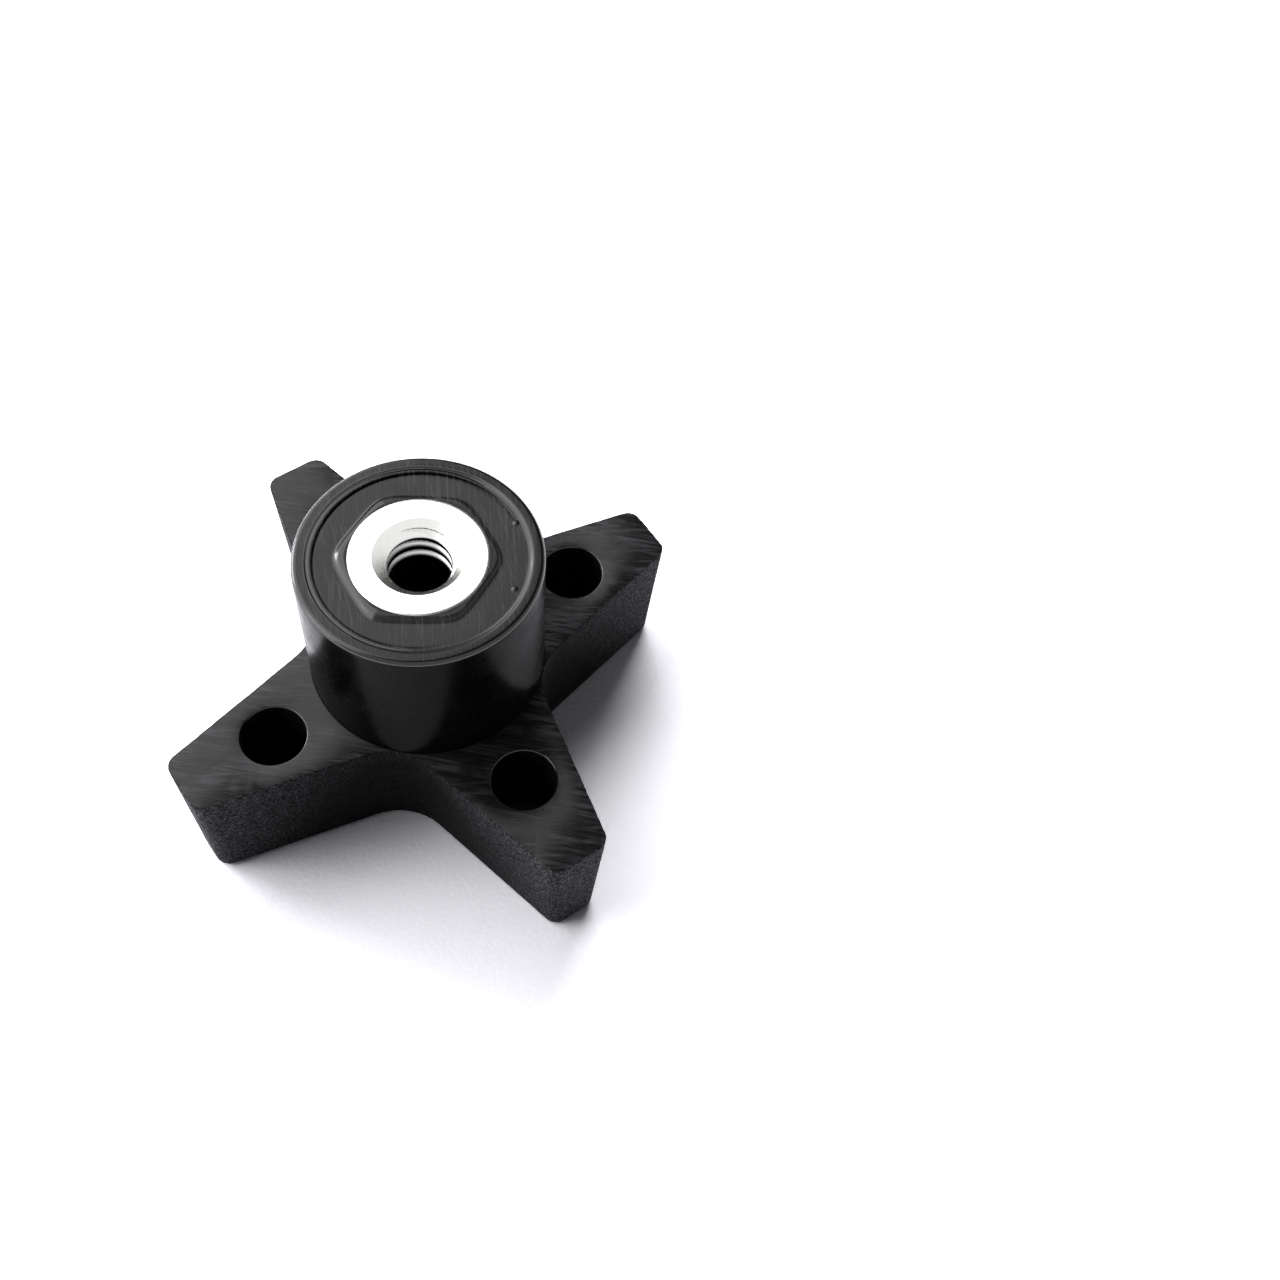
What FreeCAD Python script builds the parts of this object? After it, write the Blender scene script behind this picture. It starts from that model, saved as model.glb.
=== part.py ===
import FreeCAD, Part
import math
import os

import Sketcher

# Star knob with four arms: one black moulding with a hexagonal nut moulded into
# the end of its hub. Millimetres, +Z up. The knob stands on its front face, with
# the hub on top. The origin is the centre of the front face, and the arms lie
# along X and Y.

# Driving dimensions, in millimetres and degrees
SIZES = {
    # Arms, measured at their rear faces, where the mould parts
    "span": 47.6,
    "tip_width": 5.3,
    "arm_taper": 12.75,
    "arm_thickness": 13.1,
    "draft": 3.0,
    "root_radius": 5.4,
    "tip_corner_radius": 1.25,
    "front_edge_radius": 0.6,
    # Hub, which rises from the rear faces of the arms
    "hub_diameter": 20.2,
    "hub_height": 27.5,
    "hub_edge_radius": 0.5,
    "rim_width": 1.5,
    "face_relief": 0.25,
    "boss_wall": 0.1,
    # Blind holes in the rear faces of the arms
    "pocket_diameter": 5.5,
    "pocket_circle": 30.2,
    "pocket_floor": 3.6,
    "pocket_draft": 0.5,
    # Recess in the front face, and the wall with its bore between recess and nut
    "recess_diameter": 11.4,
    "recess_draft": 0.5,
    "recess_edge_radius": 0.3,
    "seat_thickness": 2.9,
    "clearance_bore": 7.0,
    # Hexagonal nut
    "nut_across_flats": 11.4,
    "nut_face_diameter": 11.25,
    "nut_height": 4.6,
    "nut_chamfer": 30.0,
    "nut_turn": 25.5,
    "thread_bore": 5.2,
    "entry_countersink": 7.5,
    "exit_countersink": 6.6,
}

# Facts of the layout
ARM_PAIRS = 2
ARMS = 2 * ARM_PAIRS
HEXAGON_SIDES = 6
HALF_TURN = 180.0
FULL_TURN = 360.0
NEAR = 1e-4


def make_sheet(document):
    """Write the driving dimensions into a spreadsheet, each with its alias."""
    sheet = document.addObject("Spreadsheet::Sheet", "Sizes")
    for row, (alias, value) in enumerate(SIZES.items(), start=1):
        sheet.set(f"A{row}", alias)
        sheet.set(f"B{row}", str(value))
        sheet.setAlias(f"B{row}", alias)
    document.recompute()
    return sheet


def origin_feature(body, role):
    """Return the plane or axis of the body's own origin that has this role."""
    for feature in body.Origin.OriginFeatures:
        if feature.Role == role:
            return feature
    raise ValueError(f"{body.Name} has no origin feature {role}")


def new_sketch(body, name, level):
    """Attach a sketch to the body's XY plane, raised to a level."""
    sketch = body.newObject("Sketcher::SketchObject", name)
    sketch.AttachmentSupport = (origin_feature(body, "XY_Plane"), [""])
    sketch.MapMode = "FlatFace"
    sketch.setExpression("AttachmentOffset.Base.z", level)
    return sketch


def bind(sketch, constraint, name, formula):
    """Add a dimension to a sketch and drive it with a formula."""
    index = sketch.addConstraint(constraint)
    sketch.renameConstraint(index, name)
    sketch.setExpression(f"Constraints.{name}", formula)


def add_circle(sketch, radius, radius_formula, centre_x=0.0, centre_formula=None):
    """Draw a circle on the sketch's X axis."""
    centre = FreeCAD.Vector(centre_x, 0, 0)
    circle = sketch.addGeometry(Part.Circle(centre, FreeCAD.Vector(0, 0, 1), radius))
    bind(sketch, Sketcher.Constraint("Radius", circle, radius), f"radius{circle}", radius_formula)
    if centre_formula is None:
        sketch.addConstraint(Sketcher.Constraint("Coincident", circle, 3, -1, 1))
    else:
        sketch.addConstraint(Sketcher.Constraint("PointOnObject", circle, 3, -1))
        along = Sketcher.Constraint("DistanceX", -1, 1, circle, 3, centre_x)
        bind(sketch, along, f"centre{circle}", centre_formula)
    return circle


def add_polygon(sketch, points):
    """Draw a closed outline of straight lines through the points."""
    vectors = [FreeCAD.Vector(x, y, 0) for x, y in points]
    lines = []
    for start, end in zip(vectors, vectors[1:] + vectors[:1]):
        lines.append(sketch.addGeometry(Part.LineSegment(start, end)))
    for first, second in zip(lines, lines[1:] + lines[:1]):
        sketch.addConstraint(Sketcher.Constraint("Coincident", first, 2, second, 1))
    return lines


def draw_arm_pair(sketch, sheet):
    """Draw two opposite arms as one long hexagon, widest across the axis."""
    reach = sheet.span / 2
    tip = sheet.tip_width / 2
    middle = tip + reach * math.tan(math.radians(sheet.arm_taper))
    corners = [(reach, tip), (0, middle), (-reach, tip), (-reach, -tip), (0, -middle), (reach, -tip)]
    lines = add_polygon(sketch, corners)
    right_top, left_top, left_tip, left_bottom, right_bottom, right_tip = lines
    sketch.addConstraint(Sketcher.Constraint("PointOnObject", left_top, 1, -2))
    sketch.addConstraint(Sketcher.Constraint("PointOnObject", right_bottom, 1, -2))
    sketch.addConstraint(Sketcher.Constraint("Symmetric", right_tip, 1, right_tip, 2, -1))
    sketch.addConstraint(Sketcher.Constraint("Symmetric", left_tip, 1, left_tip, 2, -1))
    sketch.addConstraint(Sketcher.Constraint("Symmetric", right_top, 1, left_top, 2, -2))
    sketch.addConstraint(Sketcher.Constraint("Equal", right_top, right_bottom))
    half_span = Sketcher.Constraint("DistanceX", -1, 1, right_top, 1, reach)
    bind(sketch, half_span, "half_span", "Sizes.span / 2")
    half_tip = Sketcher.Constraint("DistanceY", -1, 1, right_top, 1, tip)
    bind(sketch, half_tip, "half_tip", "Sizes.tip_width / 2")
    half_middle = Sketcher.Constraint("DistanceY", -1, 1, left_top, 1, middle)
    widening = "Sizes.span / 2 * tan(Sizes.arm_taper * 1 deg)"
    bind(sketch, half_middle, "half_middle", f"Sizes.tip_width / 2 + {widening}")


def draw_hexagon(sketch, across_flats, turn, flats_formula):
    """Draw a regular hexagon about the axis, one corner turned from the X axis."""
    corner_radius = across_flats / 2 / math.cos(math.pi / HEXAGON_SIDES)
    points = []
    for side in range(HEXAGON_SIDES):
        angle = math.radians(turn) + 2 * math.pi * side / HEXAGON_SIDES
        points.append((corner_radius * math.cos(angle), corner_radius * math.sin(angle)))
    lines = add_polygon(sketch, points)
    corner_formula = f"({flats_formula}) / 2 / cos(180 deg / {HEXAGON_SIDES})"
    guide = add_circle(sketch, corner_radius, corner_formula)
    sketch.setConstruction(guide, True)
    for line in lines:
        sketch.addConstraint(Sketcher.Constraint("PointOnObject", line, 1, guide))
    for line in lines[1:]:
        sketch.addConstraint(Sketcher.Constraint("Equal", lines[0], line))
    lean = Sketcher.Constraint("Angle", lines[0], math.radians(turn + 90 + 180 / HEXAGON_SIDES))
    bind(sketch, lean, "lean", f"Sizes.nut_turn * 1 deg + 90 deg + 180 deg / {HEXAGON_SIDES}")


def add_pad(body, sketch, name, length_formula, downwards=False):
    """Add material from a sketch."""
    pad = body.newObject("PartDesign::Pad", name)
    pad.Profile = sketch
    pad.Reversed = downwards
    pad.setExpression("Length", length_formula)
    body.Document.recompute()
    return pad


def add_pocket(body, sketch, name, length_formula, upwards=False, draft_formula=None):
    """Cut material away from a sketch, and see that something was cut."""
    before = body.Shape.Volume
    pocket = body.newObject("PartDesign::Pocket", name)
    pocket.Profile = sketch
    pocket.Reversed = upwards
    pocket.setExpression("Length", length_formula)
    if draft_formula is not None:
        pocket.setExpression("TaperAngle", draft_formula)
    body.Document.recompute()
    if not pocket.Shape.Volume < before:
        raise ValueError(f"{name} cuts nothing")
    return pocket


def add_pattern(body, feature, name, angle, count):
    """Repeat a feature about the vertical axis."""
    pattern = body.newObject("PartDesign::PolarPattern", name)
    pattern.Originals = [feature]
    pattern.Axis = (origin_feature(body, "Z_Axis"), [""])
    pattern.Angle = angle
    pattern.Occurrences = count
    body.Tip = pattern
    body.Document.recompute()
    return pattern


def add_fillet(body, base, name, radius_formula, wanted):
    """Round the edges of a feature that a test picks out."""
    names = []
    for number, edge in enumerate(base.Shape.Edges, start=1):
        if wanted(edge):
            names.append(f"Edge{number}")
    if not names:
        raise ValueError(f"{name} finds no edge")
    fillet = body.newObject("PartDesign::Fillet", name)
    fillet.Base = (base, names)
    fillet.setExpression("Radius", radius_formula)
    body.Document.recompute()
    return fillet


def at_level(edge, level):
    """Tell whether an edge lies flat at a level."""
    box = edge.BoundBox
    return abs(box.ZMin - level) < NEAR and abs(box.ZMax - level) < NEAR


def on_circle(edge, level, radius):
    """Tell whether an edge is part of a circle about the axis at a level."""
    reach = max(math.hypot(vertex.X, vertex.Y) for vertex in edge.Vertexes)
    return at_level(edge, level) and abs(reach - radius) < NEAR


def is_upright(edge):
    """Tell whether an edge climbs rather than lies flat."""
    return edge.BoundBox.ZLength > NEAR


def is_root_edge(edge):
    """Tell whether an edge stands between two neighbouring arms."""
    return is_upright(edge) and all(abs(abs(v.X) - abs(v.Y)) < NEAR for v in edge.Vertexes)


def is_tip_edge(edge, reach):
    """Tell whether an edge is an upright corner of an arm's tip."""
    farthest = max(max(abs(v.X), abs(v.Y)) for v in edge.Vertexes)
    return is_upright(edge) and farthest > reach - NEAR


def add_draft(body, base, name, angle_formula, neutral_level):
    """Lean the upright faces of a feature inwards, hinged at a level."""
    sides = []
    neutral = None
    for number, face in enumerate(base.Shape.Faces, start=1):
        box = face.BoundBox
        if box.ZLength > NEAR:
            sides.append(f"Face{number}")
        elif abs(box.ZMax - neutral_level) < NEAR:
            neutral = f"Face{number}"
    draft = body.newObject("PartDesign::Draft", name)
    draft.Base = (base, sides)
    draft.NeutralPlane = (base, [neutral])
    draft.Reversed = True
    draft.setExpression("Angle", angle_formula)
    body.Document.recompute()
    return draft


def build_arms(body, sheet):
    """Pad the two pairs of arms, lean their sides in towards the front face, and round them."""
    sketch = new_sketch(body, "ArmPairOutline", "Sizes.arm_thickness")
    draw_arm_pair(sketch, sheet)
    pair = add_pad(body, sketch, "ArmPair", "Sizes.arm_thickness", True)
    arms = add_pattern(body, pair, "Arms", HALF_TURN / ARM_PAIRS, ARM_PAIRS)
    leaning = add_draft(body, arms, "ArmDraft", "Sizes.draft", sheet.arm_thickness)
    roots = add_fillet(body, leaning, "RootFillets", "Sizes.root_radius", is_root_edge)
    reach = sheet.span / 2
    tips = add_fillet(body, roots, "TipFillets", "Sizes.tip_corner_radius",
                      lambda edge: is_tip_edge(edge, reach))
    add_fillet(body, tips, "FrontFillets", "Sizes.front_edge_radius",
               lambda edge: at_level(edge, 0))


def build_hub(body, sheet):
    """Raise the hub from the rear faces of the arms and round its end."""
    sketch = new_sketch(body, "HubOutline", "Sizes.arm_thickness")
    radius = sheet.hub_diameter / 2
    add_circle(sketch, radius, "Sizes.hub_diameter / 2")
    hub = add_pad(body, sketch, "Hub", "Sizes.hub_height - Sizes.arm_thickness")
    add_fillet(body, hub, "HubEdge", "Sizes.hub_edge_radius",
               lambda edge: on_circle(edge, sheet.hub_height, radius))


def cut_end_face(body, sheet):
    """Sink the hub's end between its rim and a hexagonal boss about the nut."""
    sketch = new_sketch(body, "EndFaceOutline", "Sizes.hub_height")
    radius = sheet.hub_diameter / 2 - sheet.rim_width
    add_circle(sketch, radius, "Sizes.hub_diameter / 2 - Sizes.rim_width")
    boss_flats = sheet.nut_across_flats + 2 * sheet.boss_wall
    draw_hexagon(sketch, boss_flats, sheet.nut_turn, "Sizes.nut_across_flats + 2 * Sizes.boss_wall")
    add_pocket(body, sketch, "EndFace", "Sizes.face_relief")


def cut_arm_pockets(body, sheet):
    """Cut one blind hole into the rear face of each arm."""
    sketch = new_sketch(body, "ArmPocketOutline", "Sizes.arm_thickness")
    radius = sheet.pocket_diameter / 2
    centre = sheet.pocket_circle / 2
    add_circle(sketch, radius, "Sizes.pocket_diameter / 2", centre, "Sizes.pocket_circle / 2")
    depth = "Sizes.arm_thickness - Sizes.pocket_floor"
    pocket = add_pocket(body, sketch, "ArmPocket", depth, False, "-Sizes.pocket_draft")
    add_pattern(body, pocket, "ArmPockets", FULL_TURN, ARMS)


def cut_recess(body, sheet):
    """Cut the deep recess in the front face, round its mouth, and bore on to the nut."""
    recess_sketch = new_sketch(body, "RecessOutline", "0")
    radius = sheet.recess_diameter / 2
    add_circle(recess_sketch, radius, "Sizes.recess_diameter / 2")
    depth = "Sizes.hub_height - Sizes.nut_height - Sizes.seat_thickness"
    recess = add_pocket(body, recess_sketch, "Recess", depth, True, "-Sizes.recess_draft")
    add_fillet(body, recess, "RecessEdge", "Sizes.recess_edge_radius",
               lambda edge: on_circle(edge, 0, radius))
    bore_sketch = new_sketch(body, "ClearanceOutline", "0")
    add_circle(bore_sketch, sheet.clearance_bore / 2, "Sizes.clearance_bore / 2")
    add_pocket(body, bore_sketch, "ClearanceBore", "Sizes.hub_height - Sizes.nut_height", True)


def build_moulding(document, sheet):
    """Build the plastic moulding, still without the seat of its nut."""
    body = document.addObject("PartDesign::Body", "Moulding")
    build_arms(body, sheet)
    build_hub(body, sheet)
    cut_arm_pockets(body, sheet)
    cut_recess(body, sheet)
    cut_end_face(body, sheet)
    return body


def add_cone(document, name, lower_radius, upper_radius, height, base_level):
    """Add a cone about the axis, with its sizes as formulas."""
    cone = document.addObject("Part::Cone", name)
    cone.setExpression("Radius1", lower_radius)
    cone.setExpression("Radius2", upper_radius)
    cone.setExpression("Height", height)
    cone.setExpression("Placement.Base.z", base_level)
    return cone


def build_nut_envelope(document):
    """Build the outside of the nut: a hexagon with its corners chamfered at both ends."""
    base_level = "Sizes.hub_height - Sizes.nut_height"
    hexagon = document.addObject("Part::Prism", "NutHexagon")
    hexagon.Polygon = HEXAGON_SIDES
    hexagon.setExpression("Circumradius", f"Sizes.nut_across_flats / 2 / cos(180 deg / {HEXAGON_SIDES})")
    hexagon.setExpression("Height", "Sizes.nut_height")
    hexagon.setExpression("Placement.Base.z", base_level)
    hexagon.setExpression("Placement.Rotation.Angle", "Sizes.nut_turn * 1 deg")
    face = "Sizes.nut_face_diameter / 2"
    wide = f"{face} + Sizes.nut_height / tan(Sizes.nut_chamfer * 1 deg)"
    upper = add_cone(document, "NutUpperChamfer", wide, face, "Sizes.nut_height", base_level)
    lower = add_cone(document, "NutLowerChamfer", face, wide, "Sizes.nut_height", base_level)
    envelope = document.addObject("Part::MultiCommon", "NutEnvelope")
    envelope.Shapes = [hexagon, upper, lower]
    return envelope


def build_nut_hole(document):
    """Build the hole of the nut: a plain bore for the thread, countersunk at both ends."""
    base_level = "Sizes.hub_height - Sizes.nut_height"
    bore = document.addObject("Part::Cylinder", "ThreadBore")
    bore.setExpression("Radius", "Sizes.thread_bore / 2")
    bore.setExpression("Height", "Sizes.nut_height")
    bore.setExpression("Placement.Base.z", base_level)
    narrow = "Sizes.thread_bore / 2"
    entry_wide = "Sizes.entry_countersink / 2"
    entry_depth = f"{entry_wide} - {narrow}"
    entry_level = f"Sizes.hub_height - ({entry_depth})"
    entry = add_cone(document, "EntryCountersink", narrow, entry_wide, entry_depth, entry_level)
    exit_wide = "Sizes.exit_countersink / 2"
    exit_depth = f"{exit_wide} - {narrow}"
    leaving = add_cone(document, "ExitCountersink", exit_wide, narrow, exit_depth, base_level)
    hole = document.addObject("Part::MultiFuse", "NutHole")
    hole.Shapes = [bore, entry, leaving]
    return hole


def add_cut(document, label, base, tool):
    """Subtract one shape from another and label the result as a sub-part."""
    cut = document.addObject("Part::Cut", label)
    cut.Base = base
    cut.Tool = tool
    cut.Label = label
    return cut


def check_document(document, subparts):
    """Stop if a feature failed or a sub-part has no valid solid."""
    for item in document.Objects:
        if "Invalid" in item.State or "Error" in item.State:
            raise ValueError(f"{item.Name} failed")
    for part in subparts:
        if part.Shape.isNull() or not part.Shape.isValid() or len(part.Shape.Solids) != 1:
            raise ValueError(f"{part.Label} is not one valid solid")


def export_subparts(subparts):
    """Write one STEP file for each sub-part."""
    os.makedirs("parts", exist_ok=True)
    for part in subparts:
        part.Shape.exportStep(f"parts/{part.Label}.step")
        print(part.Label, "volume", round(part.Shape.Volume, 2), "box", part.Shape.BoundBox)


document = FreeCAD.newDocument("StarKnob")
sizes = make_sheet(document)
moulding = build_moulding(document, sizes)
nut_envelope = build_nut_envelope(document)
nut_hole = build_nut_hole(document)
knob_body = add_cut(document, "knob_body", moulding, nut_envelope)
threaded_insert = add_cut(document, "threaded_insert", nut_envelope, nut_hole)
document.recompute()
check_document(document, [knob_body, threaded_insert])
export_subparts([knob_body, threaded_insert])
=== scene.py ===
"""A four-armed star knob in black plastic, with a threaded steel nut in its hub.

The knob stands on its front face with the hub on top. All places are in the frame
of the CAD part, in metres: the origin is the centre of the front face, +Z is up.
"""

import math

import bmesh
import bpy
import numpy as np
from bpy.props import FloatProperty, IntProperty, PointerProperty, StringProperty
from bpy.types import Operator, Panel, PropertyGroup
from mathutils import Matrix, Vector
from mathutils.geometry import delaunay_2d_cdt


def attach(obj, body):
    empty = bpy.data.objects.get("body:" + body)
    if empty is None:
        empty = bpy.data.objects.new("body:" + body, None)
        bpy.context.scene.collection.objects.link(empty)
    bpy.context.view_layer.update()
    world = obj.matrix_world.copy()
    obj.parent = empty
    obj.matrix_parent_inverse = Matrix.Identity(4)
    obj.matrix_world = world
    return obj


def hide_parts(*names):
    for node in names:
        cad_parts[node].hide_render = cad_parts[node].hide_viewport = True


bl_info = {
    "name": "Star Knob",
    "version": (1, 0, 0),
    "blender": (4, 5, 0),
    "location": "3D View > Sidebar > Star Knob",
    "description": "Builds a four-armed star knob with its threaded nut, and a stage to show it on",
    "category": "Object",
}

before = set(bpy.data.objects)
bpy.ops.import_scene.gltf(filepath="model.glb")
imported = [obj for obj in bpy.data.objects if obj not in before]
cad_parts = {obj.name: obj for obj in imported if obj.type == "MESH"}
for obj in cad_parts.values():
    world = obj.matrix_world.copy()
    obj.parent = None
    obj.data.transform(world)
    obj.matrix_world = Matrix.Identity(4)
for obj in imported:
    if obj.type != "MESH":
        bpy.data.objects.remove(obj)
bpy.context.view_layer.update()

# Units, counts and limits
MM = 0.001
FULL_TURN = 2 * math.pi
ARM_COUNT = 4
HEXAGON_SIDES = 6
COLUMNS = 288
ANGLES = np.arange(COLUMNS) * FULL_TURN / COLUMNS
WELD = 0.002 * MM
SHARP_ANGLE = math.radians(40)

# Finishes of the moulding, in the order of its material slots
GRAINED, SANDED, END_FACE, SATIN, RECESS, POLISHED = range(6)

# Kinds of node that are used often. A Map Range's inputs 0 to 4 are its value, the range that it
# comes from and the range that it goes to, both 0 to 1 where none is given
MATH = "ShaderNodeMath"
VECTOR_MATH = "ShaderNodeVectorMath"
MAP_RANGE = "ShaderNodeMapRange"
NOISE = "ShaderNodeTexNoise"
MIX = "ShaderNodeMix"
BUMP = "ShaderNodeBump"


def in_mm(name, description, default):
    """Declare a length, with its default in millimetres."""
    return number_of(name, description, default * MM, "LENGTH")


def in_degrees(name, description, default):
    """Declare an angle, with its default in degrees."""
    default = math.radians(default)
    return FloatProperty(name=name, description=description, default=default, subtype="ANGLE")


def number_of(name, description, default, unit="NONE"):
    """Declare a number, with its unit where it has one."""
    return FloatProperty(name=name, description=description, default=default, unit=unit)


def hex_colour(name, description, default):
    """Declare a colour that is written as an sRGB hex value."""
    return StringProperty(name=name, description=description, default=default)


class KnobArmSizes(PropertyGroup):
    """Sizes of the star's arms, given at their rear faces."""

    span: in_mm("Span", "Length over two opposite arms", 47.6)
    tip_width: in_mm("Tip width", "Width of an arm at its tip", 5.3)
    taper: in_degrees("Taper", "Angle between an arm's side and its axis", 12.75)
    thickness: in_mm("Thickness", "Thickness of the arms", 13.1)
    draft: in_degrees("Draft", "Lean of the sides towards the front face", 3)
    root_radius: in_mm("Root radius", "Radius between two arms", 5.4)
    tip_radius: in_mm("Tip radius", "Radius of the upright edges at a tip", 1.25)
    front_edge: in_mm("Front edge", "Radius round the front face", 0.6)
    rear_edge: in_mm("Rear edge", "Radius where the sides meet the rear faces", 0.06)
    hole_diameter: in_mm("Hole diameter", "Diameter of the blind holes", 5.5)
    hole_circle: in_mm("Hole circle", "Diameter of the circle that the holes lie on", 30.2)
    hole_floor: in_mm("Hole floor", "Plastic left under a blind hole", 3.6)
    hole_draft: in_degrees("Hole draft", "Lean of the wall of a hole", 0.5)
    hole_edge: in_mm("Hole edge", "Radius at the mouth of a hole", 0.12)
    wear_depth: in_mm("Wear depth", "Depth of the nicks along the rear edges", 0.16)
    wear_length: in_mm("Wear length", "Length of a nick along the rear edges", 0.9)
    wear_seed: IntProperty(name="Wear seed", description="Picks another set of nicks", default=7)


class KnobHubSizes(PropertyGroup):
    """Sizes of the hub, its end face and the recess in the front face."""

    diameter: in_mm("Diameter", "Diameter of the hub", 20.2)
    height: in_mm("Height", "Height of the hub's end above the front face", 27.5)
    foot_radius: in_mm("Foot radius", "Radius where the hub meets the arms", 0.06)
    edge_radius: in_mm("Edge radius", "Radius round the hub's end", 0.42)
    face_relief: in_mm("Face relief", "How deep the end face is sunk inside its rim", 0.25)
    boss_wall: in_mm("Boss wall", "Plastic outside the nut's flats", 0.1)
    boss_slope: in_mm("Boss slope", "Width of the slope round the boss, where it is widest", 0.55)
    boss_height: in_mm("Boss height", "Height of the boss above the face at its foot", 0.25)
    recess_diameter: in_mm("Recess diameter", "Diameter of the recess at its mouth", 11.4)
    recess_draft: in_degrees("Recess draft", "Lean of the recess's wall", 0.5)
    recess_edge: in_mm("Recess edge", "Radius at the recess's mouth", 0.3)
    seat: in_mm("Seat", "Wall between the recess and the nut", 2.9)
    clearance_bore: in_mm("Clearance bore", "Diameter of the bore through that wall", 7.0)


class KnobNutSizes(PropertyGroup):
    """Sizes of the hexagonal nut and its thread."""

    across_flats: in_mm("Across flats", "Width of the hexagon", 11.4)
    face_diameter: in_mm("Face diameter", "Diameter of the flat face inside the chamfer", 11.25)
    height: in_mm("Height", "Thickness of the nut", 4.6)
    chamfer: in_degrees("Chamfer", "Angle of the chamfer on the corners", 30)
    turn: in_degrees("Turn", "Turn of the hexagon about the axis", 25.5)
    pitch: in_mm("Pitch", "Pitch of the thread", 1.27)
    minor_diameter: in_mm("Minor diameter", "Diameter at the crests of the thread", 5.2)
    major_diameter: in_mm("Major diameter", "Diameter at the roots of the thread", 6.35)
    entry: in_mm("Entry countersink", "Diameter of the countersink in the seen face", 7.5)
    leaving: in_mm("Far countersink", "Diameter of the countersink in the hidden face", 6.6)
    thread_phase: number_of("Thread phase", "Where the thread starts, as a share of its pitch", 0.0)


class KnobFinish(PropertyGroup):
    """Colours of the knob, as sRGB hex values."""

    plastic: hex_colour("Plastic", "Black of the moulded plastic", "#060607")
    # The grain's crests get this grey, partly their own tone and partly painted glints
    grain_and_glint: hex_colour("Grain", "Grey on the crests of the moulded grain", "#7c7c80")
    sanded: hex_colour("Sanded plastic", "Grey of the sanded rear faces", "#121213")
    scratch: hex_colour("Scratch", "Grey of the scratches in them", "#37373b")
    satin: hex_colour("Satin plastic", "Lighter waves in the smooth plastic", "#0c0c0d")
    cored: hex_colour("Cored plastic", "Lighter waves in the holes and the recess", "#141415")
    steel: hex_colour("Steel", "Plated steel of the nut", "#efefed")
    # Painted shade: this grey is painted on the thread's crests below the countersink
    steel_crest_shade: hex_colour("Crest shade", "Grey painted on the thread's crests as their shade", "#47474a")


class KnobStage(PropertyGroup):
    """Floor, lamps, walls and camera."""

    floor: hex_colour("Floor", "Colour of the floor", "#f4f4f9")
    floor_grain: hex_colour("Floor grain", "Colour of the floor's pebbled grain", "#e6e6ee")
    floor_size: in_mm("Floor size", "Side of the floor", 1600)
    lens: number_of("Lens", "Focal length of the camera, in millimetres", 45.477)
    key: number_of("Window", "Power of the window behind the knob", 10.5, "POWER")
    back: number_of("Back lamp", "Power of the lamp on the right behind it", 5.0, "POWER")
    low: number_of("Low lamp", "Power of the small low window", 3.5, "POWER")
    side: number_of("Side lamp", "Power of the lamp on the left", 1.5, "POWER")
    ambient: number_of("Ambient", "Strength of the light from all sides", 0.05)
    backdrop: number_of("Backdrop", "Strength at which the walls around are seen", 1.0)
    ceiling: number_of("Ceiling", "Strength at which reflections show its dark corner", 0.05)
    whiteness: number_of("Whiteness", "How much whiter the floor is seen than it lights", 1.0)
    far_whiteness: number_of("Far whiteness", "The same at the floor's edge", 9.0)


def linear(colour):
    """Turn an sRGB hex colour such as #1c1c1e into linear RGBA."""
    levels = [int(colour[place:place + 2], 16) / 255 for place in (1, 3, 5)]
    return [c / 12.92 if c <= 0.04045 else ((c + 0.055) / 1.055) ** 2.4 for c in levels] + [1.0]


def set_inputs(tree, node, inputs):
    """Give each input its value, or link it to a socket or to the first output of a node."""
    for key, value in inputs.items():
        if isinstance(value, bpy.types.Node):
            value = value.outputs[0]
        if isinstance(value, bpy.types.NodeSocket):
            tree.links.new(value, node.inputs[key])
        else:
            node.inputs[key].default_value = value


def add_node(tree, kind, inputs=None, **settings):
    """Add a node with its settings, values and links."""
    node = tree.nodes.new(kind)
    for name, value in settings.items():
        setattr(node, name, value)
    set_inputs(tree, node, inputs or {})
    return node


# Shells that become meshes


class Shell:
    """Patches of one skin, collected before they are welded into a mesh."""

    def __init__(self):
        self.points = []
        self.faces = []
        self.finishes = []
        self.smooth = []

    def add_rows(self, rows, finishes, closed=True):
        """Join rows of points with strips of quads, with one finish for each strip or each quad."""
        first = len(self.points)
        count = len(rows[0])
        for row in rows:
            self.points.extend(map(tuple, row))
        for strip, finish in enumerate(finishes):
            start = first + strip * count
            finish = np.broadcast_to(finish, count).tolist()
            for column in range(count if closed else count - 1):
                here = start + column
                after = start + (column + 1) % count
                self.faces.append((here, here + count, after + count, after))
                self.finishes.append(finish[column])
                self.smooth.append(True)

    def add_flat(self, level, outer, holes, finish):
        """Fill the flat region between a loop and its holes with triangles."""
        loops = [np.asarray(loop)[:, :2] for loop in [outer] + holes]
        plan = np.concatenate(loops)
        edges = []
        start = 0
        for loop in loops:
            edges += [(start + k, start + (k + 1) % len(loop)) for k in range(len(loop))]
            start += len(loop)
        found = delaunay_2d_cdt([Vector(p / MM) for p in plan], edges, [], 0, 1e-6)
        corners = np.array([list(p) for p in found[0]]) * MM
        triangles = np.array(found[2])
        centres = corners[triangles].mean(axis=1)
        wanted = inside(centres, loops[0])
        for loop in loops[1:]:
            wanted &= ~inside(centres, loop)
        first = len(self.points)
        self.points.extend((x, y, level) for x, y in corners)
        for triangle in triangles[wanted]:
            self.faces.append(tuple(int(first + corner) for corner in triangle))
            self.finishes.append(finish)
            self.smooth.append(False)

    def make_mesh(self, name):
        """Turn the patches into a mesh with smooth curved faces and plain flat ones."""
        mesh = bpy.data.meshes.new(name)
        mesh.from_pydata(self.points, [], self.faces)
        mesh.attributes.new("finish", "INT", "FACE").data.foreach_set("value", self.finishes)
        mesh.polygons.foreach_set("use_smooth", self.smooth)
        mesh.update()
        return mesh


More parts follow.
